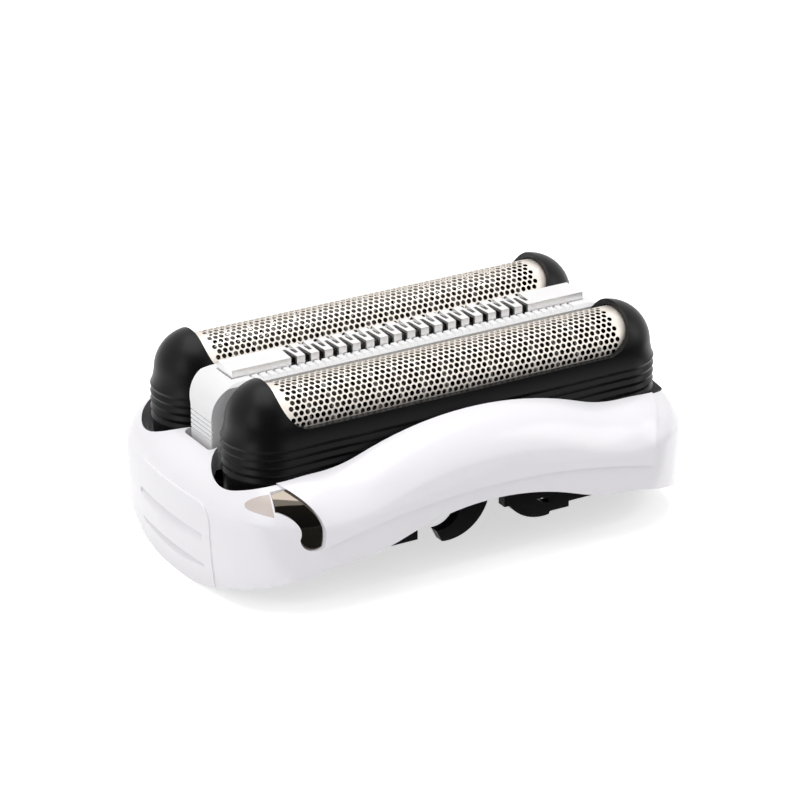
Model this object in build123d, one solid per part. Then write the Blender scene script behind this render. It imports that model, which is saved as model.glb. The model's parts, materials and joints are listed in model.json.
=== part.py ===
from build123d import *
import os
from math import asin, cos, degrees, pi, sin, sqrt

# Foil head of an electric shaver, in millimetres.
# X runs along the head, the front is -Y and Z is up.
# Heights are counted from the foot of the housing's corners. The finished pieces are lifted by
# END_DROP, so that the head stands on its two end walls at Z = 0.

# Housing wall: its spine in plan, and the arch of its long sides
SPINE_PAST_FRAME = 5.45
SPINE_HALF_WIDTH = 15.6
END_RADIUS = 54.0
CORNER_RADIUS = 7.0
ARCH_RADIUS = 33.5
ARCH_TURN = 11.5
SPINE_Z = 8.0

# Housing wall section: distance outwards from the spine, and height
FOOT_OUT = 1.5
FLANK_OUT = 1.85
FLANK_Z = 3.8
BELLY_OUT = 1.95
BELLY_Z = 8.0
SHOULDER_OUT = 0.15
SHOULDER_Z = 10.75
LIP_OUT = -2.9
LIP_Z = 11.9
LIP_THICKNESS = 1.5
INNER_OUT = 0.4
INNER_KNEE_Z = 7.4
SIDE_FOOT_Z = 3.45
END_DROP = 1.8
END_TUCK = 0.3
END_FLAT = 0.1

# Raised panel at both ends of the housing, and the grip ledges in it
GRIP_PITCH = 3.4
GRIP_TOP_Z = 8.2
GRIP_COUNT = 2
GRIP_DEPTH = 0.75
GRIP_HALF_WIDTH = 6.6
PANEL_HALF_WIDTH = 7.9
PANEL_HEIGHT = 0.12
PANEL_CORNER = 2.0

# Raised band on the long sides, and the bright insert beside it
BAND_HEIGHT = 0.35
BAND_END_INSET = 6.1
BAND_END_LEAN = 2.7
BAND_END_BOW = 1.1
BAND_LOW_Z = 8.3
BAND_TIP_Z = 5.9
BAND_TOP_Z = 11.6
ACCENT_WIDTH = 3.9
ACCENT_TOP_LEAN = 0.5
ACCENT_SHOULDER_Z = 9.4
ACCENT_WAIST_X = 2.15
ACCENT_WAIST_Z = 6.9
ACCENT_DEPTH = 0.8
ACCENT_RECESS = 0.3
ACCENT_FIT = 0.05
ACCENT_RIM = 0.6

# Foils and their frames
FOIL_OFFSET = 7.55
FOIL_RADIUS = 3.6
FOIL_THICKNESS = 0.15
FOIL_AXIS_Z = 15.9
FOIL_PAST_AXIS = 0.95
FOIL_LEG_Z = 13.4
HOLE_RADIUS = 0.58
HOLE_PITCH = 2.0
HOLE_ROWS = 7
HOLE_COLUMNS = 17
FOIL_FACETS = 9
FRAME_AXIS_HALF = 19.95
FRAME_HALF_WIDTH = 4.5
FRAME_CROWN_RADIUS = 4.3
FRAME_FOOT_Z = 7.0
RIDGE_HEIGHT = 0.2
RIDGE_PITCH = 0.85
RIDGE_COUNT = 5
RIDGE_TOP_Z = 14.9
FOIL_SEAT_GAP = 0.1
WINDOW_SILL_Z = 16.0
WINDOW_SILL_INSET = 2.25
WINDOW_CROWN_PAST = 0.45
LUG_REACH = 0.55
LUG_HEIGHT = 0.7
LUG_WIDTH = 3.6

# Cutters under the foils
BLADE_GAP = 0.15
BLADE_DEPTH = 1.0
BLADE_THICKNESS = 0.4
BLADE_COUNT = 14
BLADE_PITCH = 2.6
BLADE_FACETS = 6
CARRIER_END_GAP = 1.3
CARRIER_CORNER = 1.4
CARRIER_TOP_Z = 13.0
CARRIER_FOOT_Z = 11.0
FORK_GAP = 2.4
FORK_PRONG = 1.3
FORK_HALF_WIDTH = 1.6
FORK_FOOT_Z = 7.2

# Long-hair trimmer between the foils
TRIMMER_TOP_Z = 19.0
COMB_END_INSET = 2.0
COMB_HALF_WIDTH = 2.2
COMB_HEAD_HALF_WIDTH = 2.95
COMB_TOP_Z = 18.2
COMB_FOOT_Z = 9.0
COMB_NECK_Z = 14.6
COMB_END_RADIUS = 3.0
COMB_GROOVE_COUNT = 5
COMB_GROOVE_PITCH = 0.5
COMB_GROOVE_TOP_Z = 14.2
COMB_GROOVE_SIZE = 0.12
COMB_TOOTH_PITCH = 0.89
COMB_TOOTH_COUNT = 43
COMB_TOOTH_DEPTH = 0.35
GUARD_END_INSET = 2.75
GUARD_HALF_WIDTH = 1.53
GUARD_THICKNESS = 0.3
GUARD_FOOT_Z = 17.2
GUARD_FIT = 0.12
GUARD_SLOT_PITCH = 1.6
GUARD_SLOT_COUNT = 18
GUARD_SLOT_WIDTH = 0.36
GUARD_SLOT_REACH = 2.15
TRIM_BLADE_HALF_LENGTH = 15.5
TRIM_BLADE_GAP = 0.1
TRIM_BLADE_THICKNESS = 0.6
TRIM_BLADE_PITCH = 1.5
TRIM_BLADE_NOTCH = 0.6
SLIDER_HALF_LENGTH = 14.0
SLIDER_HALF_WIDTH = 0.95
SLIDER_GAP = 0.3
STROKE = 1.0

# Springs and the chassis that carries them
CHASSIS_TOP_Z = 5.4
CHASSIS_THICKNESS = 1.2
CHASSIS_FIT = 0.2
CHASSIS_HALF_WIDTH = 13.2
CHASSIS_RIM = 2.4
CHASSIS_CORNER = 6.0
BAR_X = 11.0
BAR_WIDTH = 4.0
SPRING_RADIUS = 1.5
SPRING_WIRE = 0.4
TRIMMER_SPRING_RADIUS = 0.75
SPRING_TURNS = 3
SPRING_SIDES = 8
RAIL_OUT = 15.85
RAIL_THICKNESS = 1.2
RAIL_TOP_Z = 7.4
RAIL_LINK_Z = 6.9
RAIL_FOOT_Z = 3.3
RAIL_HALF_LENGTH = 14.8
CLAW_X = 1.4
CLAW_GAP = 1.0
CLAW_ROOT_Z = 5.6
CLAW_TIP_X = 6.3
CLAW_TIP_Z = 2.4
CLAW_TIP_WIDTH = 1.3
CLAW_NECK = 3.2
CLAW_FILL_Z = 4.4
BLOCK_LENGTH = 2.4
BLOCK_DROP = 0.6
POST_PAST_COMB = 0.4
POST_Y = 3.65
POST_SIZE = 0.8
POST_TOP_Z = 8.6

# Running clearances, and how far a cut runs past what it cuts
SCALLOP_GAP = 0.95
TRIMMER_SLOT_GAP = 0.65
TRIMMER_SLOT_END_GAP = 0.6
CUT_MARGIN = 1.0

# Values worked out from the sizes above
SPINE_HALF_LENGTH = FRAME_AXIS_HALF + SPINE_PAST_FRAME
BAND_HALF_LENGTH = SPINE_HALF_LENGTH - BAND_END_INSET
FOIL_HALF_LENGTH = FRAME_AXIS_HALF + FOIL_PAST_AXIS
WINDOW_SILL_HALF = FRAME_AXIS_HALF - WINDOW_SILL_INSET
WINDOW_CROWN_HALF = FRAME_AXIS_HALF + WINDOW_CROWN_PAST
CARRIER_HALF_LENGTH = FOIL_HALF_LENGTH - STROKE - CARRIER_END_GAP
COMB_HALF_LENGTH = SPINE_HALF_LENGTH - COMB_END_INSET
GUARD_HALF_LENGTH = COMB_HALF_LENGTH - GUARD_END_INSET
POST_X = COMB_HALF_LENGTH + POST_PAST_COMB
END_AXIS_X = SPINE_HALF_LENGTH - END_RADIUS
CORNER_Y = SPINE_HALF_WIDTH - CORNER_RADIUS
END_ANGLE = asin(CORNER_Y / (END_RADIUS - CORNER_RADIUS))
CORNER_X = END_AXIS_X + (END_RADIUS - CORNER_RADIUS) * cos(END_ANGLE)
ARCH_ANGLE = asin(ARCH_TURN / ARCH_RADIUS)
ARCH_FOOT_RADIUS = (CORNER_X - ARCH_TURN) / sin(ARCH_ANGLE)
ARCH_RISE = (ARCH_RADIUS + ARCH_FOOT_RADIUS) * (1 - cos(ARCH_ANGLE))


def wall_section(foot_z, proud=0.0):
    """Section of the housing wall in its own plane, x outwards and y up."""
    flank = ThreePointArc(
        (FOOT_OUT + proud, 0), (FLANK_OUT + proud, FLANK_Z), (BELLY_OUT + proud, BELLY_Z)
    )
    shoulder = ThreePointArc(
        flank @ 1, (SHOULDER_OUT + proud / 2, SHOULDER_Z + proud / 2), (LIP_OUT, LIP_Z)
    )
    inside = Polyline(
        shoulder @ 1,
        (LIP_OUT, LIP_Z - LIP_THICKNESS),
        (INNER_OUT, INNER_KNEE_Z),
        (INNER_OUT, -END_DROP),
        (FOOT_OUT + proud - END_TUCK, -END_DROP),
        flank @ 0,
    )
    cut = END_DROP + foot_z
    face = make_face(flank + shoulder + inside)
    if cut > 0:
        face -= Pos(0, foot_z - cut / 2) * Rectangle(4 * SPINE_Z, cut)
    return face


def upright(x, y, z, outward):
    """Plane at a point of the spine, its x outwards and its y up."""
    return Plane(origin=(x, y, z), x_dir=outward, z_dir=Vector(outward).cross(Vector(0, 0, 1)))


def long_side(proud=0.0):
    """Arched front wall between the two front corners."""
    low_axis = Axis((0, 0, SPINE_Z + ARCH_RISE - ARCH_RADIUS), (0, 1, 0))
    high_axis = Axis((CORNER_X, 0, SPINE_Z + ARCH_FOOT_RADIUS), (0, 1, 0))
    middle = upright(0, -SPINE_HALF_WIDTH, ARCH_RISE, (0, -1, 0)) * wall_section(SIDE_FOOT_Z, proud)
    angle = degrees(ARCH_ANGLE)
    crown = revolve(middle.rotate(low_axis, -angle), low_axis, 2 * angle)
    end = upright(CORNER_X, -SPINE_HALF_WIDTH, 0, (0, -1, 0)) * wall_section(SIDE_FOOT_Z, proud)
    foot = revolve(end, high_axis, angle)
    return [crown, foot, mirror(foot, about=Plane.YZ)]


def corner(proud=0.0):
    """Front right corner, its foot sloping down to the end of the housing."""
    axis = Axis((CORNER_X, -CORNER_Y, 0), (0, 0, 1))
    face = upright(CORNER_X, -SPINE_HALF_WIDTH, 0, (0, -1, 0)) * wall_section(0, proud)
    solid = revolve(face, axis, 90 - degrees(END_ANGLE))
    reach = CORNER_RADIUS + BELLY_OUT
    slope = SIDE_FOOT_Z / (reach * (1 + cos(END_ANGLE) - sin(END_ANGLE)))
    foot = Plane(
        origin=(CORNER_X, -SPINE_HALF_WIDTH - BELLY_OUT, SIDE_FOOT_Z), z_dir=(slope, slope, 1)
    )
    return split(solid, bisect_by=foot, keep=Keep.TOP)


def end_wall(proud=0.0):
    """Right-hand end of the housing, gently bowed in plan."""
    axis = Axis((END_AXIS_X, 0, 0), (0, 0, 1))
    angle = degrees(END_ANGLE)
    face = upright(SPINE_HALF_LENGTH, 0, 0, (1, 0, 0)) * wall_section(-END_DROP, proud)
    wall = revolve(face.rotate(axis, -angle), axis, 2 * angle)
    reach = (END_RADIUS + BELLY_OUT) * sin(END_ANGLE)
    foot = ThreePointArc((-reach, 0), (0, -END_DROP - END_FLAT), (reach, 0))
    below = foot + Polyline(foot @ 1, (reach, -reach), (-reach, -reach), foot @ 0)
    return wall - extrude(Plane.YZ * make_face(below), amount=2 * SPINE_HALF_LENGTH)


def all_round(solids):
    """The given front and right-hand solids with their copies on the other sides."""
    front = solids + [mirror(s, about=Plane.XZ) for s in solids]
    return front + [mirror(s, about=Plane.YZ) for s in front]


def slot(y, half_length, half_width):
    """Upright prism with round ends, through the whole height of the head."""
    plan = SlotCenterToCenter(2 * (half_length - half_width), 2 * half_width)
    return Pos(0, y, 0) * extrude(plan, amount=2 * TRIMMER_TOP_Z)


def foil_slot(y, gap):
    """Room for a foil frame, with a gap all round it."""
    radius = FRAME_HALF_WIDTH + RIDGE_HEIGHT + gap
    return slot(y, FRAME_AXIS_HALF + radius, radius)


def top_opening():
    foils = [foil_slot(y, SCALLOP_GAP) for y in (-FOIL_OFFSET, FOIL_OFFSET)]
    trimmer = Box(
        2 * (COMB_HALF_LENGTH + TRIMMER_SLOT_END_GAP),
        2 * (COMB_HALF_WIDTH + TRIMMER_SLOT_GAP),
        4 * TRIMMER_TOP_Z,
    )
    return foils[0] + foils[1] + fillet(trimmer.edges().filter_by(Axis.Z), TRIMMER_SLOT_END_GAP)


def grip_panel():
    """Slightly raised panel in the middle of the right-hand end."""
    outline = RectangleRounded(2 * PANEL_HALF_WIDTH, 2 * GRIP_TOP_Z, PANEL_CORNER)
    return end_wall(PANEL_HEIGHT) & extrude(Plane.YZ * outline, amount=2 * SPINE_HALF_LENGTH)


def grip_cuts():
    """Wedges that leave overlapping ledges on the right-hand end."""
    cuts = []
    face_x = SPINE_HALF_LENGTH + BELLY_OUT
    for i in range(GRIP_COUNT):
        z = GRIP_TOP_Z - (i + 1) * GRIP_PITCH
        wedge = Polyline(
            (face_x - GRIP_DEPTH, z),
            (face_x + CUT_MARGIN, z),
            (face_x + CUT_MARGIN, z - GRIP_PITCH),
            close=True,
        )
        cut = extrude(Plane.XZ * make_face(wedge), amount=GRIP_HALF_WIDTH, both=True)
        cuts.append(cut)
    return cuts


def front_prism(face):
    """A face in X and Z, run out through the front of the housing."""
    return extrude(Plane.XZ * face, amount=2 * SPINE_HALF_WIDTH)


def band_end():
    """Left-hand end of the band, a bowed line that leans outwards from its lower tip."""
    tip = Vector(-BAND_HALF_LENGTH, BAND_TIP_Z)
    top = Vector(-BAND_HALF_LENGTH - BAND_END_LEAN, BAND_TOP_Z)
    across = (top - tip).rotate(Axis.Z, -90).normalized()
    return ThreePointArc(tip, (tip + top) / 2 + across * BAND_END_BOW, top)


def band():
    """Raised band along the front wall, from corner to corner."""
    left = band_end()
    right = mirror(left, about=Plane.YZ)
    low = ThreePointArc(left @ 0, (0, BAND_LOW_Z), right @ 0)
    over = 2 * LIP_Z
    top = Polyline(
        left @ 1, ((left @ 1).X, over), ((right @ 1).X, over), right @ 1
    )
    corner_end = corner(BAND_HEIGHT)
    proud = Part() + long_side(BAND_HEIGHT) + [corner_end, mirror(corner_end, about=Plane.YZ)]
    return proud & front_prism(make_face(left + low + right + top))


def accent_skin(recess, fit):
    """Crescent of the front left corner, between a recess and the pocket's floor."""
    bow = band_end()
    tip = bow @ 0
    shoulder = Vector(tip.X - ACCENT_WIDTH, ACCENT_SHOULDER_Z)
    waist = Vector(tip.X - ACCENT_WAIST_X, ACCENT_WAIST_Z)
    outline = bow + Polyline(bow @ 1, (shoulder.X + ACCENT_TOP_LEAN, BAND_TOP_Z), shoulder)
    outline += TangentArc(shoulder, waist, tangent=(1, 0))
    outline += TangentArc(waist, tip, tangent=(0, -1))
    face = offset(make_face(outline), -fit) if fit else make_face(outline)
    skin = corner(-recess) - corner(fit - ACCENT_DEPTH)
    rim = foil_slot(-FOIL_OFFSET, SCALLOP_GAP + ACCENT_RIM + fit)
    return (mirror(skin, about=Plane.YZ) & front_prism(face)) - rim


def make_accent():
    return accent_skin(ACCENT_RECESS, ACCENT_FIT)


def make_housing():
    end = end_wall() + grip_panel()
    front = long_side() + [band()]
    walls = all_round([corner()]) + [end, mirror(end, about=Plane.YZ)]
    walls += front + [mirror(s, about=Plane.XZ) for s in front]
    body = Part() + walls
    grips = grip_cuts()
    body = body - top_opening() - grips - [mirror(g, about=Plane.YZ) for g in grips]
    return body - accent_skin(0, 0)


def frame_profile():
    """Half section of a foil frame about its upright middle plane."""
    points = [(0, FRAME_FOOT_Z), (FRAME_HALF_WIDTH, FRAME_FOOT_Z)]
    foot = RIDGE_TOP_Z - RIDGE_COUNT * RIDGE_PITCH
    for i in range(RIDGE_COUNT):
        z = foot + i * RIDGE_PITCH
        points.append((FRAME_HALF_WIDTH, z))
        points.append((FRAME_HALF_WIDTH + RIDGE_HEIGHT, z + RIDGE_PITCH / 2))
    points.append((FRAME_HALF_WIDTH, RIDGE_TOP_Z))
    points.append((FRAME_CROWN_RADIUS, FOIL_AXIS_Z))
    crown_z = FOIL_AXIS_Z + FRAME_CROWN_RADIUS
    diagonal = FRAME_CROWN_RADIUS * sqrt(0.5)
    outline = Polyline(*points)
    crown = ThreePointArc(points[-1], (diagonal, FOIL_AXIS_Z + diagonal), (0, crown_z))
    return make_face(outline + crown + Line((0, crown_z), (0, FRAME_FOOT_Z)))


def channel(radius, half_length, foot_z):
    """Prism along X with an arched top, as wide as the arch."""
    arch = ThreePointArc((radius, FOIL_AXIS_Z), (0, FOIL_AXIS_Z + radius), (-radius, FOIL_AXIS_Z))
    legs = Polyline(arch @ 1, (-radius, foot_z), (radius, foot_z), arch @ 0)
    return extrude(Plane.YZ * make_face(arch + legs), amount=half_length, both=True)


def make_foil_frame(y):
    half = frame_profile()
    section = half + mirror(half, about=Plane.YZ)
    body = extrude(Plane.YZ * section, amount=FRAME_AXIS_HALF, both=True)
    axis = Axis((FRAME_AXIS_HALF, 0, 0), (0, 0, 1))
    dome = revolve(Pos(FRAME_AXIS_HALF, 0, 0) * (Plane.XZ * half).rotate(Axis.Z, -90), axis, 180)
    body = body + dome + mirror(dome, about=Plane.YZ)
    lug_x = FRAME_AXIS_HALF + FRAME_HALF_WIDTH + LUG_REACH
    lugs = Pos(0, 0, FRAME_FOOT_Z + LUG_HEIGHT / 2) * Box(2 * lug_x, LUG_WIDTH, LUG_HEIGHT)
    body = body + lugs
    body = body - channel(FOIL_RADIUS + FOIL_SEAT_GAP, FOIL_HALF_LENGTH + FOIL_SEAT_GAP, 0)
    crown_z = FOIL_AXIS_Z + FRAME_CROWN_RADIUS + CUT_MARGIN
    swoop = ThreePointArc(
        (WINDOW_SILL_HALF, WINDOW_SILL_Z),
        (
            (WINDOW_SILL_HALF + 2 * WINDOW_CROWN_HALF) / 3,
            (2 * WINDOW_SILL_Z + FOIL_AXIS_Z + FOIL_RADIUS) / 3,
        ),
        (WINDOW_CROWN_HALF, FOIL_AXIS_Z + FOIL_RADIUS),
    )
    edges = swoop + Line(swoop @ 1, (WINDOW_CROWN_HALF, crown_z))
    edges += Line((WINDOW_CROWN_HALF, crown_z), (0, crown_z))
    edges += Line((0, crown_z), (0, WINDOW_SILL_Z)) + Line((0, WINDOW_SILL_Z), swoop @ 0)
    right = extrude(Plane.XZ * make_face(edges), amount=2 * FRAME_HALF_WIDTH, both=True)
    body = body - right - mirror(right, about=Plane.YZ)
    return Pos(0, y, 0) * body


def arch_points(radius, foot_z, facets):
    """Corners of an arched section, in Y and Z, from one foot to the other."""
    angles = [pi * i / facets for i in range(facets + 1)]
    crown = [(radius * cos(a), FOIL_AXIS_Z + radius * sin(a)) for a in angles]
    return [(radius, foot_z)] + crown + [(-radius, foot_z)]


def arched_sheet(outer, thickness, foot_z, facets):
    """Section of an arched strip, open below."""
    rim = arch_points(outer, foot_z, facets)
    rim += reversed(arch_points(outer - thickness, foot_z, facets))
    return Plane.YZ * make_face(Polyline(*rim, close=True))


def make_foil(y):
    sheet = extrude(
        arched_sheet(FOIL_RADIUS, FOIL_THICKNESS, FOIL_LEG_Z, FOIL_FACETS),
        amount=FOIL_HALF_LENGTH,
        both=True,
    )
    holes = []
    for row in range(HOLE_ROWS):
        odd = row % 2
        angle = (row - (HOLE_ROWS - 1) / 2) * 180 / FOIL_FACETS
        for column in range(HOLE_COLUMNS - odd):
            x = (column - (HOLE_COLUMNS - odd - 1) / 2) * HOLE_PITCH
            prism = extrude(RegularPolygon(HOLE_RADIUS, 6), amount=2 * FOIL_RADIUS)
            holes.append(Pos(x, 0, FOIL_AXIS_Z) * Rot(angle, 0, 0) * prism)
    return Pos(0, y, 0) * (sheet - holes)


def make_blades(y):
    """Pack of arched lamellae that runs along the inside of a foil."""
    outer = FOIL_RADIUS - FOIL_THICKNESS - BLADE_GAP
    face = arched_sheet(outer, BLADE_DEPTH, CARRIER_TOP_Z, BLADE_FACETS)
    blade = extrude(face, amount=BLADE_THICKNESS / 2, both=True)
    first = -(BLADE_COUNT - 1) / 2 * BLADE_PITCH
    return Compound([Pos(first + i * BLADE_PITCH, y, 0) * blade for i in range(BLADE_COUNT)])


def drive_fork(half_width, root_z):
    """Two prongs that take the shaver's drive pin, under a sliding piece."""
    height = root_z - FORK_FOOT_Z
    x = (FORK_GAP + FORK_PRONG) / 2
    prong = Pos(x, 0, FORK_FOOT_Z + height / 2) * Box(FORK_PRONG, 2 * half_width, height)
    return prong + mirror(prong, about=Plane.YZ)


def make_carrier(y):
    height = CARRIER_TOP_Z - CARRIER_FOOT_Z
    bar = Pos(0, 0, CARRIER_FOOT_Z + height / 2) * Box(
        2 * CARRIER_HALF_LENGTH, 2 * (FOIL_RADIUS - FOIL_THICKNESS - BLADE_GAP), height
    )
    bar = fillet(bar.edges().filter_by(Axis.Z), CARRIER_CORNER)
    return Pos(0, y, 0) * (bar + drive_fork(FORK_HALF_WIDTH, CARRIER_FOOT_Z))


def make_comb():
    shape = Polyline(
        (COMB_HALF_WIDTH, COMB_FOOT_Z),
        (COMB_HALF_WIDTH, COMB_NECK_Z),
        (COMB_HEAD_HALF_WIDTH, COMB_TOP_Z - COMB_TOOTH_DEPTH),
        (COMB_HEAD_HALF_WIDTH - COMB_TOOTH_DEPTH, COMB_TOP_Z),
        (-COMB_HEAD_HALF_WIDTH + COMB_TOOTH_DEPTH, COMB_TOP_Z),
        (-COMB_HEAD_HALF_WIDTH, COMB_TOP_Z - COMB_TOOTH_DEPTH),
        (-COMB_HALF_WIDTH, COMB_NECK_Z),
        (-COMB_HALF_WIDTH, COMB_FOOT_Z),
        close=True,
    )
    body = extrude(Plane.YZ * make_face(shape), amount=COMB_HALF_LENGTH, both=True)
    height = COMB_TOP_Z - COMB_FOOT_Z
    side = Pos(0, COMB_FOOT_Z + height / 2) * Rectangle(2 * COMB_HALF_LENGTH, height)
    side = fillet(side.vertices().group_by(Axis.Y)[-1], COMB_END_RADIUS)
    body = body & extrude(Plane.XZ * side, amount=2 * COMB_HEAD_HALF_WIDTH, both=True)
    seat = GUARD_HALF_WIDTH + GUARD_FIT
    body -= Pos(0, 0, GUARD_FOOT_Z + COMB_END_RADIUS) * Box(
        2 * (GUARD_HALF_LENGTH + GUARD_FIT), 2 * seat, 2 * COMB_END_RADIUS
    )
    body -= Box(
        2 * (SLIDER_HALF_LENGTH + STROKE + SLIDER_GAP),
        2 * (SLIDER_HALF_WIDTH + SLIDER_GAP),
        4 * COMB_TOP_Z,
    )
    first = -(COMB_TOOTH_COUNT - 1) / 2 * COMB_TOOTH_PITCH
    notches = []
    for i in range(COMB_TOOTH_COUNT):
        x = first + i * COMB_TOOTH_PITCH
        notch = Polyline(
            (x - COMB_TOOTH_DEPTH, COMB_TOP_Z + COMB_TOOTH_DEPTH),
            (x, COMB_TOP_Z - COMB_TOOTH_DEPTH),
            (x + COMB_TOOTH_DEPTH, COMB_TOP_Z + COMB_TOOTH_DEPTH),
            close=True,
        )
        notches.append(extrude(Plane.XZ * make_face(notch), amount=2 * seat, both=True))
    for i in range(COMB_GROOVE_COUNT):
        z = COMB_GROOVE_TOP_Z - i * COMB_GROOVE_PITCH
        for x in (-COMB_HALF_LENGTH, COMB_HALF_LENGTH):
            groove = Box(2 * COMB_GROOVE_SIZE, 2 * COMB_HEAD_HALF_WIDTH, COMB_GROOVE_SIZE)
            notches.append(Pos(x, 0, z) * groove)
    return body - notches


def make_guard():
    height = TRIMMER_TOP_Z - GUARD_FOOT_Z
    body = Pos(0, 0, GUARD_FOOT_Z + height / 2) * Box(
        2 * GUARD_HALF_LENGTH, 2 * GUARD_HALF_WIDTH, height
    )
    body -= Pos(0, 0, GUARD_FOOT_Z + height / 2 - GUARD_THICKNESS) * Box(
        2 * (GUARD_HALF_LENGTH - GUARD_THICKNESS), 2 * (GUARD_HALF_WIDTH - GUARD_THICKNESS), height
    )
    first = -(GUARD_SLOT_COUNT - 1) / 2 * GUARD_SLOT_PITCH
    cuts = []
    for i in range(GUARD_SLOT_COUNT):
        x = first + i * GUARD_SLOT_PITCH
        edge = GUARD_HALF_WIDTH + GUARD_THICKNESS
        front = Polyline(
            (x - GUARD_SLOT_WIDTH, -edge),
            (x + GUARD_SLOT_WIDTH, -edge),
            (x + GUARD_SLOT_WIDTH / 2, GUARD_SLOT_REACH - GUARD_HALF_WIDTH),
            (x - GUARD_SLOT_WIDTH / 2, GUARD_SLOT_REACH - GUARD_HALF_WIDTH),
            close=True,
        )
        cut = Pos(0, 0, GUARD_FOOT_Z) * extrude(make_face(front), amount=2 * height)
        cuts.append(cut)
        cuts.append(Pos(GUARD_SLOT_PITCH / 2, 0, 0) * mirror(cut, about=Plane.XZ))
    return body - cuts


def make_trim_blade():
    top = TRIMMER_TOP_Z - GUARD_THICKNESS - TRIM_BLADE_GAP
    half_width = GUARD_HALF_WIDTH - GUARD_THICKNESS - TRIM_BLADE_GAP
    body = Pos(0, 0, top - TRIM_BLADE_THICKNESS / 2) * Box(
        2 * TRIM_BLADE_HALF_LENGTH, 2 * half_width, TRIM_BLADE_THICKNESS
    )
    count = int(2 * TRIM_BLADE_HALF_LENGTH / TRIM_BLADE_PITCH) - 1
    notches = []
    for i in range(count):
        x = (i - (count - 1) / 2) * TRIM_BLADE_PITCH
        notch = Pos(x, half_width, top) * Box(
            TRIM_BLADE_PITCH / 2, 2 * TRIM_BLADE_NOTCH, 4 * TRIM_BLADE_THICKNESS
        )
        notches += [notch, mirror(notch, about=Plane.XZ)]
    return body - notches


def make_slider():
    top = TRIMMER_TOP_Z - GUARD_THICKNESS - TRIM_BLADE_GAP - TRIM_BLADE_THICKNESS
    height = top - CARRIER_FOOT_Z
    bar = Pos(0, 0, CARRIER_FOOT_Z + height / 2) * Box(
        2 * SLIDER_HALF_LENGTH, 2 * SLIDER_HALF_WIDTH, height
    )
    return bar + drive_fork(SLIDER_HALF_WIDTH, CARRIER_FOOT_Z)


def make_spring(x, y, radius):
    """Coil between the chassis and a sliding piece."""
    rise = CARRIER_FOOT_Z - CHASSIS_TOP_Z - SPRING_WIRE
    steps = SPRING_TURNS * SPRING_SIDES
    points = []
    for i in range(steps + 1):
        angle = 2 * pi * i / SPRING_SIDES
        z = CHASSIS_TOP_Z + SPRING_WIRE / 2 + rise * i / steps
        points.append((radius * cos(angle), radius * sin(angle), z))
    path = Polyline(*points)
    start = Plane(origin=path @ 0, z_dir=path % 0)
    coil = sweep(start * Rectangle(SPRING_WIRE, SPRING_WIRE), path=path, transition=Transition.RIGHT)
    return Pos(x, y, 0) * coil


def claw():
    """Right-hand locating hook under a rail, curved outwards to a blunt tip."""
    tip = (CLAW_TIP_X, CLAW_TIP_Z)
    low = ThreePointArc(
        (CLAW_GAP, CLAW_ROOT_Z),
        ((CLAW_GAP + CLAW_TIP_X) / 2 - CLAW_NECK / 4, (CLAW_ROOT_Z + CLAW_TIP_Z) / 2 - CLAW_NECK / 4),
        tip,
    )
    high = ThreePointArc(
        (CLAW_TIP_X + CLAW_TIP_WIDTH / 2, CLAW_TIP_Z + CLAW_TIP_WIDTH),
        (CLAW_GAP + CLAW_NECK + CLAW_TIP_WIDTH, RAIL_FOOT_Z + CLAW_TIP_WIDTH / 2),
        (CLAW_GAP + CLAW_NECK, RAIL_LINK_Z),
    )
    sides = Polyline(high @ 1, (CLAW_GAP, RAIL_LINK_Z), low @ 0)
    return make_face(low + Line(tip, high @ 0) + high + sides)


def rail_side():
    """Front rail of the chassis, with its hooks, its end blocks and the bars that carry it."""
    height = RAIL_TOP_Z - RAIL_LINK_Z
    outline = Pos(0, RAIL_LINK_Z + height / 2) * Rectangle(2 * RAIL_HALF_LENGTH, height)
    bar_length = RAIL_HALF_LENGTH - CLAW_TIP_X - CLAW_X
    bar_height = RAIL_TOP_Z - RAIL_FOOT_Z
    bar = Pos(RAIL_HALF_LENGTH - bar_length / 2, RAIL_FOOT_Z + bar_height / 2) * Rectangle(
        bar_length, bar_height
    )
    block_x = RAIL_HALF_LENGTH - bar_length + BLOCK_LENGTH / 2
    block = Pos(block_x, RAIL_FOOT_Z) * Rectangle(BLOCK_LENGTH, 2 * BLOCK_DROP)
    outline += bar + mirror(bar, about=Plane.YZ) + block
    hook = claw()
    outline += Pos(CLAW_X, 0) * (hook + mirror(hook, about=Plane.YZ))
    fill_height = RAIL_TOP_Z - CLAW_FILL_Z
    fill_length = CLAW_TIP_X - CLAW_GAP
    outline += Pos(CLAW_X + CLAW_GAP + fill_length / 2, CLAW_FILL_Z + fill_height / 2) * Rectangle(
        fill_length, fill_height
    )
    rail = Pos(0, -RAIL_OUT + RAIL_THICKNESS, 0) * extrude(Plane.XZ * outline, RAIL_THICKNESS)
    depth = RAIL_OUT - CHASSIS_HALF_WIDTH + CHASSIS_RIM / 2
    links = []
    for x in (-BAR_X, BAR_X):
        links.append(
            Pos(x, -RAIL_OUT + depth / 2, CHASSIS_TOP_Z - CHASSIS_THICKNESS / 2)
            * Box(BAR_WIDTH, depth, CHASSIS_THICKNESS)
        )
    return rail + links


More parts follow.
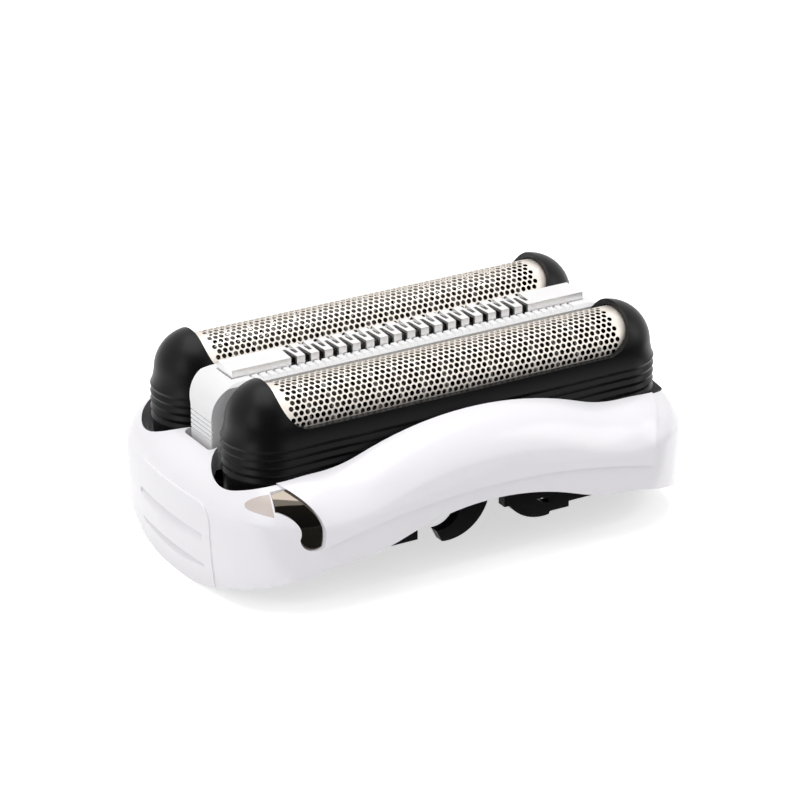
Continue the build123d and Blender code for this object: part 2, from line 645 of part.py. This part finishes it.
def make_chassis():
    end_x = END_AXIS_X + sqrt(END_RADIUS**2 - CHASSIS_HALF_WIDTH**2) + INNER_OUT - CHASSIS_FIT
    outer = RectangleRounded(2 * end_x, 2 * CHASSIS_HALF_WIDTH, CHASSIS_CORNER)
    window = Rectangle(2 * BAR_X - BAR_WIDTH, 2 * (CHASSIS_HALF_WIDTH - CHASSIS_RIM))
    plan = outer - window
    body = Pos(0, 0, CHASSIS_TOP_Z - CHASSIS_THICKNESS) * extrude(plan, amount=CHASSIS_THICKNESS)
    side = rail_side()
    body = body + side + side.rotate(Axis.Z, 180)
    height = POST_TOP_Z - CHASSIS_TOP_Z
    for x in (-POST_X, POST_X):
        for y in (-POST_Y, POST_Y):
            body += Pos(x, y, CHASSIS_TOP_Z + height / 2) * Box(POST_SIZE, POST_SIZE, height)
    return body


def make_nodes():
    nodes = {"housing": make_housing(), "chrome_accent": make_accent(), "chassis": make_chassis()}
    for side, y in (("front", -FOIL_OFFSET), ("rear", FOIL_OFFSET)):
        nodes[f"{side}_foil_frame"] = make_foil_frame(y)
        nodes[f"{side}_foil"] = make_foil(y)
        nodes[f"{side}_cutter_blades"] = make_blades(y)
        nodes[f"{side}_cutter_carrier"] = make_carrier(y)
        nodes[f"{side}_spring_left"] = make_spring(-BAR_X, y, SPRING_RADIUS)
        nodes[f"{side}_spring_right"] = make_spring(BAR_X, y, SPRING_RADIUS)
    nodes["trimmer_comb"] = make_comb()
    nodes["trimmer_guard"] = make_guard()
    nodes["trimmer_blade"] = make_trim_blade()
    nodes["trimmer_slider"] = make_slider()
    nodes["trimmer_spring_left"] = make_spring(-BAR_X, 0, TRIMMER_SPRING_RADIUS)
    nodes["trimmer_spring_right"] = make_spring(BAR_X, 0, TRIMMER_SPRING_RADIUS)
    return nodes


if __name__ == "__main__":
    os.makedirs("parts", exist_ok=True)
    for name, solid in make_nodes().items():
        export_step(Pos(0, 0, END_DROP) * solid, f"parts/{name}.step")
        print(name, round(solid.volume, 1))
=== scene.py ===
# %% [markdown]
# # A foil shaver head
# The head is the clip-on top of an electric shaver: a glossy white ring that carries two black
# frames, each with an arched metal foil, and a long-hair trimmer between them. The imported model
# gives every piece its true place, so this lesson only builds what fine work adds to it: holes,
# soft edges, finishes and light. All lengths are in metres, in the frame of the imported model.

import bpy
import bmesh
import json
from math import cos, pi, radians, sin, sqrt
from mathutils import Matrix, Vector


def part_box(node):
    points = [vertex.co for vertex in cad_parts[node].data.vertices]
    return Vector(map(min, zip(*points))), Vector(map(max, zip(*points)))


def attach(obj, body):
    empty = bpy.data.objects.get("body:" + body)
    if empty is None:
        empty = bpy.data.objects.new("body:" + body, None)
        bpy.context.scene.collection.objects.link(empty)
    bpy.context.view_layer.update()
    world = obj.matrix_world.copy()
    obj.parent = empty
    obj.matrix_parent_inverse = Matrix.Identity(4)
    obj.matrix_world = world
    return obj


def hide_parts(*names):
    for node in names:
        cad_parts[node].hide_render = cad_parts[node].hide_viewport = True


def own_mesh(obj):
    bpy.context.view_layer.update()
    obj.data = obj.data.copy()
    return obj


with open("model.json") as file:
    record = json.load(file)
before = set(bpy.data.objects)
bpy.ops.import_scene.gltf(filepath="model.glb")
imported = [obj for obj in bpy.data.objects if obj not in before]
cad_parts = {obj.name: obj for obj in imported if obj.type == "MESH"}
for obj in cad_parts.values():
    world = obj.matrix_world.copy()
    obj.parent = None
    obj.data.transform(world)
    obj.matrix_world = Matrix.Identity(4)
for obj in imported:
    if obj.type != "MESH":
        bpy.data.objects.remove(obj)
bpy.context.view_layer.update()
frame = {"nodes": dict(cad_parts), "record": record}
MM = 0.001
body_of_node = {}
for body, nodes in frame["record"]["behaviour"]["bodies"].items():
    for node in nodes:
        body_of_node[node] = body


# %% Helper that turns a built mesh into an object
def object_from(bm, name, material=None):
    """Object at the origin with the mesh that was built, and a finish if one is given."""
    mesh = bpy.data.meshes.new(name)
    bm.to_mesh(mesh)
    bm.free()
    if material:
        mesh.materials.append(material)
    obj = bpy.data.objects.new(name, mesh)
    bpy.context.collection.objects.link(obj)
    return obj


# %% [markdown]
# ## Moulded and stamped pieces
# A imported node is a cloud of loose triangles. A copy with its triangles joined can be shaded
# smooth where a real moulding is round and sharp where it has an edge, and a narrow bevel then
# gives each edge the small radius that catches light. Copying keeps the real shape, so it is
# chosen here over modelling each piece again.

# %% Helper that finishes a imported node
JOIN_DISTANCE = 0.0005 * MM
FLAT_ANGLE = radians(0.5)
SHARP_ANGLE = radians(32.0)


def finished_copy(node, material, edge_radius):
    """Piece with the shape of a node, its triangles joined and its edges softened."""
    bm = bmesh.new()
    bm.from_mesh(frame["nodes"][node].data)
    bmesh.ops.remove_doubles(bm, verts=bm.verts, dist=JOIN_DISTANCE)
    bmesh.ops.dissolve_limit(bm, angle_limit=FLAT_ANGLE, verts=bm.verts, edges=bm.edges)
    for face in bm.faces:
        face.smooth = True
    for edge in bm.edges:
        edge.smooth = edge.calc_face_angle(pi) < SHARP_ANGLE
    piece = object_from(bm, f"{node}_finished", material)
    if "custom_normal" in piece.data.attributes:
        piece.data.attributes.remove(piece.data.attributes["custom_normal"])
    if edge_radius:
        bevel = piece.modifiers.new("soft edges", "BEVEL")
        bevel.width = edge_radius
        bevel.segments = 2
        bevel.limit_method = "ANGLE"
        bevel.angle_limit = SHARP_ANGLE
        bevel.use_clamp_overlap = True
        bevel.harden_normals = True
    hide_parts(node)
    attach(piece, body_of_node[node])
    return piece


# %% [markdown]
# ## Materials
# Each finish is a Principled shader with a little unevenness from noise on Object coordinates, so
# that the pattern is fixed to the piece and has a real size. The scale of a noise is counted per
# metre: a scale of 2000 has features of about half a millimetre.


# %% Helpers for a finish
def new_finish(name, colour, roughness, metallic=0.0):
    """Material with a Principled shader, and the parts that the next cells wire up."""
    material = bpy.data.materials.new(name)
    material.use_nodes = True
    tree = material.node_tree
    shader = tree.nodes["Principled BSDF"]
    shader.inputs["Base Color"].default_value = (*colour, 1.0)
    shader.inputs["Roughness"].default_value = roughness
    shader.inputs["Metallic"].default_value = metallic
    return material, tree, shader


def grain(tree, scale, stretch=(1.0, 1.0, 1.0), detail=3.0):
    """Noise on Object coordinates, drawn out along an axis by a stretch below 1."""
    place = tree.nodes.new("ShaderNodeTexCoord")
    mapping = tree.nodes.new("ShaderNodeMapping")
    mapping.inputs["Scale"].default_value = stretch
    noise = tree.nodes.new("ShaderNodeTexNoise")
    noise.inputs["Scale"].default_value = scale
    noise.inputs["Detail"].default_value = detail
    tree.links.new(place.outputs["Object"], mapping.inputs["Vector"])
    tree.links.new(mapping.outputs["Vector"], noise.inputs["Vector"])
    return noise.outputs["Fac"]


def uneven(tree, shader, fac, low, high):
    """Lets the roughness wander between two values."""
    span = tree.nodes.new("ShaderNodeMapRange")
    span.inputs["To Min"].default_value = low
    span.inputs["To Max"].default_value = high
    tree.links.new(fac, span.inputs["Value"])
    tree.links.new(span.outputs["Result"], shader.inputs["Roughness"])


def relief(tree, shader, fac, strength, depth):
    """Raises the surface by a fine bump."""
    bump = tree.nodes.new("ShaderNodeBump")
    bump.inputs["Strength"].default_value = strength
    bump.inputs["Distance"].default_value = depth
    tree.links.new(fac, bump.inputs["Height"])
    tree.links.new(bump.outputs["Normal"], shader.inputs["Normal"])


def tint(tree, shader, fac, dark, light):
    """Lets the colour wander between two close shades."""
    mix = tree.nodes.new("ShaderNodeMix")
    mix.data_type = "RGBA"
    mix.inputs["A"].default_value = (*dark, 1.0)
    mix.inputs["B"].default_value = (*light, 1.0)
    tree.links.new(fac, mix.inputs["Factor"])
    tree.links.new(mix.outputs["Result"], shader.inputs["Base Color"])


# %% [markdown]
# The housing is polished plastic, white with a trace of violet, and a weak, broad waviness breaks
# its reflections up as on any moulding. The trimmer's body is a plain white and a little duller.

# %% White plastic
white_gloss, tree, shader = new_finish("white_gloss", colour=(0.87, 0.855, 0.875), roughness=0.2)
tint(tree, shader, grain(tree, scale=90.0), dark=(0.85, 0.835, 0.858), light=(0.88, 0.865, 0.885))
uneven(tree, shader, grain(tree, scale=400.0), low=0.17, high=0.24)
relief(tree, shader, grain(tree, scale=220.0, detail=1.0), strength=0.05, depth=0.2 * MM)
shader.inputs["IOR"].default_value = 1.5

comb_white, tree, shader = new_finish("comb_white", colour=(0.84, 0.84, 0.84), roughness=0.3)
tint(tree, shader, grain(tree, scale=300.0), dark=(0.82, 0.82, 0.82), light=(0.86, 0.86, 0.855))
uneven(tree, shader, grain(tree, scale=900.0), low=0.26, high=0.36)
relief(tree, shader, grain(tree, scale=4000.0), strength=0.05, depth=0.02 * MM)

# Beige finish for the lead-in: painted shade and warm reflection of a shallow scoop into the
# insert, laid on the white housing as colour.
lead_in_painted_shade, tree, shader = new_finish("lead_in_painted_shade", colour=(0.6, 0.52, 0.48), roughness=0.25)
uneven(tree, shader, grain(tree, scale=400.0), low=0.2, high=0.3)
print("white and beige plastic")

# %% [markdown]
# The frames and the chassis are black plastic with the fine, dull grain of a spark-eroded mould.

# %% Black plastic, and near-black plastic painted with shade
black_satin, tree, shader = new_finish("black_satin", colour=(0.004, 0.004, 0.0045), roughness=0.36)
tint(
    tree,
    shader,
    grain(tree, scale=1500.0),
    dark=(0.003, 0.003, 0.0035),
    light=(0.005, 0.005, 0.0055),
)
uneven(tree, shader, grain(tree, scale=2500.0), low=0.3, high=0.4)
relief(tree, shader, grain(tree, scale=7000.0), strength=0.1, depth=0.02 * MM)
shader.inputs["Specular IOR Level"].default_value = 0.17

# Near-black plastic for the cutter carriers and the trimmer's slider and blade: darkened to paint
# the shade inside the head and in the guard's slots.
carrier_grey, tree, shader = new_finish("carrier_grey", colour=(0.02, 0.02, 0.022), roughness=0.5)
tint(
    tree,
    shader,
    grain(tree, scale=1500.0),
    dark=(0.015, 0.015, 0.016),
    light=(0.025, 0.025, 0.027),
)
uneven(tree, shader, grain(tree, scale=2500.0), low=0.45, high=0.58)
print("black and grey plastic")

# %% [markdown]
# The foil is electroformed nickel: bright, a little warm, and drawn out along its length. The
# trimmer's guard is stamped steel, and the insert is a chrome-plated moulding whose base colour is
# a
# dark brown: painted dark reflection, standing in for the dark room that such a mirror shows.

# %% Metals
ALONG_FOIL = (0.1, 1.0, 1.0)
ALONG_GUARD = (0.04, 1.0, 1.0)
ACROSS_BLADE = (1.0, 0.1, 1.0)

nickel, tree, shader = new_finish("nickel", colour=(0.80, 0.75, 0.69), roughness=0.3, metallic=1.0)
tint(tree, shader, grain(tree, scale=900.0), dark=(0.76, 0.70, 0.63), light=(0.84, 0.80, 0.75))
uneven(tree, shader, grain(tree, scale=3000.0, stretch=ALONG_FOIL), low=0.42, high=0.54)

guard_steel, tree, shader = new_finish(
    "guard_steel", colour=(0.88, 0.87, 0.87), roughness=0.2, metallic=1.0
)
tint(tree, shader, grain(tree, scale=700.0), dark=(0.84, 0.83, 0.83), light=(0.92, 0.91, 0.91))
uneven(tree, shader, grain(tree, scale=5000.0, stretch=ALONG_GUARD), low=0.34, high=0.48)

# Steel for the cutter blades and springs, its base colour darkened far below bright steel: painted
# shade for parts deep inside the head.
blade_steel, tree, shader = new_finish(
    "blade_steel", colour=(0.2, 0.19, 0.18), roughness=0.35, metallic=1.0
)
tint(tree, shader, grain(tree, scale=900.0), dark=(0.17, 0.16, 0.155), light=(0.24, 0.23, 0.22))
uneven(tree, shader, grain(tree, scale=4000.0, stretch=ACROSS_BLADE), low=0.28, high=0.42)

# Chrome with a dark brown base colour: painted dark reflection in place of the bright base of real
# chrome.
chrome_dark_reflection, tree, shader = new_finish(
    "chrome_dark_reflection", colour=(0.19, 0.165, 0.14), roughness=0.06, metallic=1.0
)
uneven(tree, shader, grain(tree, scale=1200.0), low=0.04, high=0.09)
print("four metals")

# %% [markdown]
# ## The mouldings and inner works
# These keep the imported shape. The soft edge is about what each part's mould or press leaves.

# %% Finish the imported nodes
SOFT_EDGES = 0.06 * MM
NO_BEVEL = 0.0
finishes = {
    "housing": (white_gloss, NO_BEVEL),
    "chrome_accent": (chrome_dark_reflection, NO_BEVEL),
    "chassis": (black_satin, SOFT_EDGES),
    "front_foil_frame": (black_satin, NO_BEVEL),
    "rear_foil_frame": (black_satin, NO_BEVEL),
    "trimmer_comb": (comb_white, NO_BEVEL),
    "trimmer_guard": (guard_steel, NO_BEVEL),
    # The trimmer blade is near black, painted shade seen through the guard's slots.
    "trimmer_blade": (carrier_grey, NO_BEVEL),
    "trimmer_slider": (carrier_grey, SOFT_EDGES),
    "front_cutter_carrier": (carrier_grey, SOFT_EDGES),
    "rear_cutter_carrier": (carrier_grey, SOFT_EDGES),
}
pieces = {}
for node, (material, edge_radius) in finishes.items():
    pieces[node] = finished_copy(node, material, edge_radius)
    print(node, len(pieces[node].data.polygons), "faces")

# The cutter blades take the shade-darkened steel, painted shade under the foils.
for node in ("front_cutter_blades", "rear_cutter_blades"):
    blades = frame["nodes"][node]
    blades.data.materials.clear()
    blades.data.materials.append(blade_steel)

# %% [markdown]
# ## The insert's lead-in
# A narrow beige field runs from the corner of the housing into the insert: painted shade and warm
# reflection of a shallow scoop that is not modelled as a hollow. A flat grid is shaped into a wedge
# with a round tip, and each vertex is laid on the housing by casting a ray at it. The rim sinks
# just under the wall, so that no edge stands off it.

# %% Lay the painted shade of the lead-in on the housing
LEAD_IN_TIP = Vector((-25.1, -12.0, 11.4)) * MM
LEAD_IN_TOP = Vector((-22.74, -13.16, 12.58)) * MM
LEAD_IN_FOOT = Vector((-23.34, -15.1, 10.8)) * MM
LEAD_IN_OUTWARDS = Vector((-0.62, -0.5, 0.6)).normalized()
LEAD_IN_LIFT = 0.012 * MM
LEAD_IN_DEPTH = 0.1 * MM
LEAD_IN_JOIN = 0.005 * MM
RAY_START = 2.0 * MM

bm = bmesh.new()
bmesh.ops.create_grid(bm, x_segments=24, y_segments=16, size=0.5)
for vert in bm.verts:
    along, across = vert.co.x + 0.5, vert.co.y
    lift = -LEAD_IN_LIFT if vert.is_boundary else LEAD_IN_LIFT
    line = LEAD_IN_TIP.lerp((LEAD_IN_TOP + LEAD_IN_FOOT) / 2, along)
    flat = line + (LEAD_IN_TOP - LEAD_IN_FOOT) * across * sqrt(along)
    start = flat + LEAD_IN_OUTWARDS * RAY_START
    spot = pieces["housing"].ray_cast(start, -LEAD_IN_OUTWARDS)[1]
    vert.co = spot + LEAD_IN_OUTWARDS * lift
bmesh.ops.remove_doubles(bm, verts=bm.verts, dist=LEAD_IN_JOIN)
bmesh.ops.recalc_face_normals(bm, faces=bm.faces)
bm.faces.ensure_lookup_table()
if bm.faces[len(bm.faces) // 2].normal.dot(LEAD_IN_OUTWARDS) < 0:
    bmesh.ops.reverse_faces(bm, faces=bm.faces)
for face in bm.faces:
    face.smooth = True
painted_scoop_patch = object_from(bm, "accent_lead_in_painted_shade", lead_in_painted_shade)
depth = painted_scoop_patch.modifiers.new("depth", "SOLIDIFY")
depth.thickness = LEAD_IN_DEPTH
depth.offset = -1.0
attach(painted_scoop_patch, "head")
print(painted_scoop_patch.name, len(painted_scoop_patch.data.polygons), "faces")

# %% [markdown]
# ## The springs
# Each coil is a circle of wire, spun round an upright axis while it climbs, and fills the height of
# the spring's place.

# %% Helper that coils a spring
WIRE_RADIUS = 0.2 * MM
WIRE_SIDES = 10
COIL_TURNS = 3
STEPS_PER_TURN = 24
COIL_CLEARANCE = 0.03 * MM


def coil_spring(node):
    """Round-wire coil in the place of a node."""
    low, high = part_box(node)
    centre_x, centre_y = (low[0] + high[0]) / 2, (low[1] + high[1]) / 2
    coil_radius = (high[0] - low[0]) / 2 - WIRE_RADIUS
    height = high[2] - low[2] - COIL_CLEARANCE
    start = Matrix.Translation((centre_x + coil_radius, centre_y, low[2] + WIRE_RADIUS))
    upright = Matrix.Rotation(radians(90), 4, "X")
    bm = bmesh.new()
    wire = bmesh.ops.create_circle(
        bm, cap_ends=True, segments=WIRE_SIDES, radius=WIRE_RADIUS, matrix=start @ upright
    )
    end = wire["verts"][0].link_faces[0]
    steps = COIL_TURNS * STEPS_PER_TURN
    bmesh.ops.spin(
        bm,
        geom=[end] + wire["verts"] + list(end.edges),
        cent=(centre_x, centre_y, 0.0),
        axis=(0.0, 0.0, 1.0),
        dvec=(0.0, 0.0, (height - 2 * WIRE_RADIUS) / steps),
        angle=2 * pi * COIL_TURNS,
        steps=steps,
        use_merge=False,
    )
    bmesh.ops.recalc_face_normals(bm, faces=bm.faces)
    for face in bm.faces:
        face.smooth = len(face.verts) == 4
    coil = object_from(bm, f"{node}_coil", blade_steel)
    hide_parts(node)
    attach(coil, body_of_node[node])
    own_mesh(coil)
    return coil


# %% Coil all six springs
float_joints = {
    "front": "front_foil_float",
    "rear": "rear_foil_float",
    "trimmer": "trimmer_float",
}
for group, joint in float_joints.items():
    for end in ("left", "right"):
        coil = coil_spring(f"{group}_spring_{end}")
        print(coil.name, len(coil.data.polygons), "faces")

# %% [markdown]
# ## The foils
# A real foil has hundreds of round holes in a sheet thinner than paper. One cell is a hexagon with
# a round hole, made by bridging two rings of edges. A strip of cells is laid out once and set down
# row by row, as bricks are, then the flat sheet is bent over the foil's radius, and Solidify gives
# it its thickness. Cutting the holes with booleans would be slower and leave a poorer mesh.

# %% Sizes of the foils
HOLE_PITCH = 0.67 * MM
HOLE_RADIUS = 0.262 * MM
CELL_SIDES = 12
CELL_JOIN = 0.01 * MM
FOIL_SHEET = 0.07 * MM
HOLES_END_BAND = 1.9 * MM
ROW_PITCH = HOLE_PITCH * sqrt(3) / 2


# %% Helpers that lay out a flat sheet
def cell(bm, x, open_hole):
    """Hexagonal cell of the sheet, with or without its hole."""
    place = Matrix.Translation((x, 0.0, 0.0))
    corner_radius = HOLE_PITCH / sqrt(3)
    outer = bmesh.ops.create_circle(bm, segments=CELL_SIDES, radius=corner_radius, matrix=place)
    inwards = Vector((1.0, 1.0, 1.0)) * cos(radians(30))
    space = Matrix.Translation((-x, 0.0, 0.0))
    bmesh.ops.scale(bm, vec=inwards, verts=outer["verts"][1::2], space=space)
    rim = list({edge for vert in outer["verts"] for edge in vert.link_edges})
    if not open_hole:
        bmesh.ops.contextual_create(bm, geom=rim)
        return
    inner = bmesh.ops.create_circle(bm, segments=CELL_SIDES, radius=HOLE_RADIUS, matrix=place)
    hole = list({edge for vert in inner["verts"] for edge in vert.link_edges})
    bmesh.ops.bridge_loops(bm, edges=rim + hole)


def strip_of_cells(half_length, open_half_length):
    """One row of the sheet, with holes in its middle part."""
    columns = int(half_length / HOLE_PITCH)
    bm = bmesh.new()
    for column in range(-columns, columns + 1):
        x = column * HOLE_PITCH
        cell(bm, x, abs(x) < open_half_length)
    bmesh.ops.remove_doubles(bm, verts=bm.verts, dist=CELL_JOIN)
    mesh = bpy.data.meshes.new("strip")
    bm.to_mesh(mesh)
    bm.free()
    return mesh


def flat_sheet(half_length, half_arc, leg):
    """Rows of cells: open ones over the arch, closed ones down both legs."""
    open_strip = strip_of_cells(half_length, half_length - HOLES_END_BAND)
    closed_strip = strip_of_cells(half_length, 0.0)
    rows = int((half_arc + leg) / ROW_PITCH)
    bm = bmesh.new()
    for row in range(-rows, rows + 1):
        along = row * ROW_PITCH
        before = len(bm.verts)
        bm.from_mesh(open_strip if abs(along) < half_arc else closed_strip)
        bm.verts.ensure_lookup_table()
        shift = HOLE_PITCH / 4 if row % 2 else -HOLE_PITCH / 4
        bmesh.ops.translate(bm, verts=bm.verts[before:], vec=(shift, along, 0.0))
    bmesh.ops.remove_doubles(bm, verts=bm.verts, dist=CELL_JOIN)
    bpy.data.meshes.remove(open_strip)
    bpy.data.meshes.remove(closed_strip)
    return bm


# %% Helper that bends a sheet into a foil
def perforated_foil(node):
    """Sheet bent over a node's arch, in the place of that node."""
    low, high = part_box(node)
    middle_y = (low[1] + high[1]) / 2
    radius = (high[1] - low[1]) / 2
    axis_z = high[2] - radius
    half_arc = radius * pi / 2
    bm = flat_sheet((high[0] - low[0]) / 2, half_arc, axis_z - low[2])
    for vert in bm.verts:
        along = vert.co.y
        turn = max(-half_arc, min(half_arc, along)) / radius
        down = max(0.0, abs(along) - half_arc)
        vert.co.y = middle_y + radius * sin(turn)
        vert.co.z = axis_z + radius * cos(turn) - down
    bmesh.ops.recalc_face_normals(bm, faces=bm.faces)
    top = max(bm.faces, key=lambda face: face.calc_center_median().z)
    if top.normal.z < 0:
        bmesh.ops.reverse_faces(bm, faces=bm.faces)
    for face in bm.faces:
        face.smooth = True
    for edge in bm.edges:
        edge.smooth = not edge.is_boundary
    piece = object_from(bm, f"{node}_sheet", nickel)
    wall = piece.modifiers.new("sheet thickness", "SOLIDIFY")
    wall.thickness = FOIL_SHEET
    wall.offset = -1.0
    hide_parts(node)
    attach(piece, body_of_node[node])
    return piece


# %% Make both foils
for node in ("front_foil", "rear_foil"):
    piece = perforated_foil(node)
    print(piece.name, len(piece.data.polygons), "faces")

# %% [markdown]
# ## Floor, light and camera
# The photograph is high-key: a white sweep, broad soft light from above and no hard shadow. The
# world and the floor are white to the camera and in reflections, and give a plain level of light.

# %% Floor
FLOOR_HALF = 3.0
FLOOR_COLOUR = (0.8, 0.8, 0.8, 1.0)
FLOOR_GLOW = 0.6

pale_floor = bpy.data.materials.new("pale_floor")
pale_floor.use_nodes = True
tree = pale_floor.node_tree
tree.nodes.clear()
output = tree.nodes.new("ShaderNodeOutputMaterial")
matte = tree.nodes.new("ShaderNodeBsdfDiffuse")
matte.inputs["Color"].default_value = FLOOR_COLOUR
glow = tree.nodes.new("ShaderNodeEmission")
seen = tree.nodes.new("ShaderNodeLightPath")
either = tree.nodes.new("ShaderNodeMath")
either.operation = "MAXIMUM"
level = tree.nodes.new("ShaderNodeMath")
level.operation = "MULTIPLY"
level.inputs[1].default_value = FLOOR_GLOW
both = tree.nodes.new("ShaderNodeAddShader")
tree.links.new(seen.outputs["Is Camera Ray"], either.inputs[0])
tree.links.new(seen.outputs["Is Glossy Ray"], either.inputs[1])
tree.links.new(either.outputs["Value"], level.inputs[0])
tree.links.new(level.outputs["Value"], glow.inputs["Strength"])
tree.links.new(matte.outputs["BSDF"], both.inputs[0])
tree.links.new(glow.outputs["Emission"], both.inputs[1])
tree.links.new(both.outputs["Shader"], output.inputs["Surface"])

bm = bmesh.new()
bmesh.ops.create_grid(bm, x_segments=1, y_segments=1, size=FLOOR_HALF)
floor = object_from(bm, "floor", pale_floor)
print("floor", 2 * FLOOR_HALF, "m square")

# %% World
SKY_COLOUR = (0.97, 0.97, 1.0, 1.0)
SKY_STRENGTH = 0.5
SWEEP_COLOUR = (1.0, 1.0, 1.0, 1.0)

world = bpy.data.worlds.new("white sweep")
bpy.context.scene.world = world
world.use_nodes = True
tree = world.node_tree
tree.nodes.clear()
output = tree.nodes.new("ShaderNodeOutputWorld")
sky = tree.nodes.new("ShaderNodeBackground")
sky.inputs["Color"].default_value = SKY_COLOUR
sky.inputs["Strength"].default_value = SKY_STRENGTH
sweep = tree.nodes.new("ShaderNodeBackground")
sweep.inputs["Color"].default_value = SWEEP_COLOUR
seen = tree.nodes.new("ShaderNodeLightPath")
shown = tree.nodes.new("ShaderNodeMath")
shown.operation = "MAXIMUM"
mirrored = tree.nodes.new("ShaderNodeMath")
mirrored.operation = "MAXIMUM"
choose = tree.nodes.new("ShaderNodeMixShader")
tree.links.new(seen.outputs["Is Glossy Ray"], mirrored.inputs[0])
tree.links.new(seen.outputs["Is Transmission Ray"], mirrored.inputs[1])
tree.links.new(seen.outputs["Is Camera Ray"], shown.inputs[0])
tree.links.new(mirrored.outputs["Value"], shown.inputs[1])
tree.links.new(shown.outputs["Value"], choose.inputs["Fac"])
tree.links.new(sky.outputs["Background"], choose.inputs[1])
tree.links.new(sweep.outputs["Background"], choose.inputs[2])
tree.links.new(choose.outputs["Shader"], output.inputs["Surface"])

# %% Lamps
MIDDLE = Vector((0.0, 0.0, 0.012))


def softbox(name, at, size, watts):
    """Rectangular lamp, aimed at the middle of the head."""
    lamp = bpy.data.lights.new(name, "AREA")
    lamp.shape = "RECTANGLE"
    lamp.size = size[0]
    lamp.size_y = size[1]
    lamp.energy = watts
    obj = bpy.data.objects.new(name, lamp)
    obj.location = at
    obj.rotation_euler = (MIDDLE - Vector(at)).to_track_quat("-Z", "Y").to_euler()
    bpy.context.collection.objects.link(obj)


softbox("overhead", at=(-0.05, 0.05, 0.6), size=(0.6, 0.5), watts=2.5)
softbox("left", at=(-0.55, -0.2, 0.25), size=(0.35, 0.45), watts=0.6)
softbox("right", at=(0.5, -0.35, 0.3), size=(0.3, 0.4), watts=0.8)
print("three lamps")

# %% [markdown]
# Black plastic and chrome only look black and bright if they have something dark to mirror. In a
# studio that is black card, here one beside the camera and one on the table in front of the head.
# Both show in mirror reflections alone, so that they take no light away.

# %% Black cards
CAMERA_CARD_AT = Vector((-0.22, -0.46, 0.24))
TABLE_CARD_AT = Vector((-0.06, -0.325, 0.001))
UPWARDS = Vector((0.0, 0.0, 1.0))
card_black, _, _ = new_finish("card_black", colour=(0.02, 0.02, 0.02), roughness=0.9)


def black_card(name, at, facing, half_size):
    """Square of card at a place, turned to face along a direction."""
    turn = facing.to_track_quat("Z", "Y").to_matrix().to_4x4()
    place = Matrix.Translation(at) @ turn
    bm = bmesh.new()
    bmesh.ops.create_grid(bm, x_segments=1, y_segments=1, size=half_size, matrix=place)
    card = object_from(bm, name, card_black)
    card.visible_camera = False
    card.visible_diffuse = False
    card.visible_shadow = False


black_card("camera_card", at=CAMERA_CARD_AT, facing=MIDDLE - CAMERA_CARD_AT, half_size=0.32)
black_card("table_card", at=TABLE_CARD_AT, facing=UPWARDS, half_size=0.305)
print("two black cards")

# %% Camera at the photograph's viewing angle
SENSOR_WIDTH = 36.0
FOCAL_LENGTH = 177.0
CAMERA_AT = Vector((-0.1876, -0.3184, 0.1740))
CAMERA_AIM = Vector((-0.0018, -0.0023, 0.0138))

camera_data = bpy.data.cameras.new("camera")
camera_data.sensor_width = SENSOR_WIDTH
camera_data.lens = FOCAL_LENGTH
camera = bpy.data.objects.new("camera", camera_data)
camera.location = CAMERA_AT
camera.rotation_euler = (CAMERA_AIM - CAMERA_AT).to_track_quat("-Z", "Y").to_euler()
bpy.context.collection.objects.link(camera)
bpy.context.scene.camera = camera
bpy.context.scene.view_settings.view_transform = "Standard"
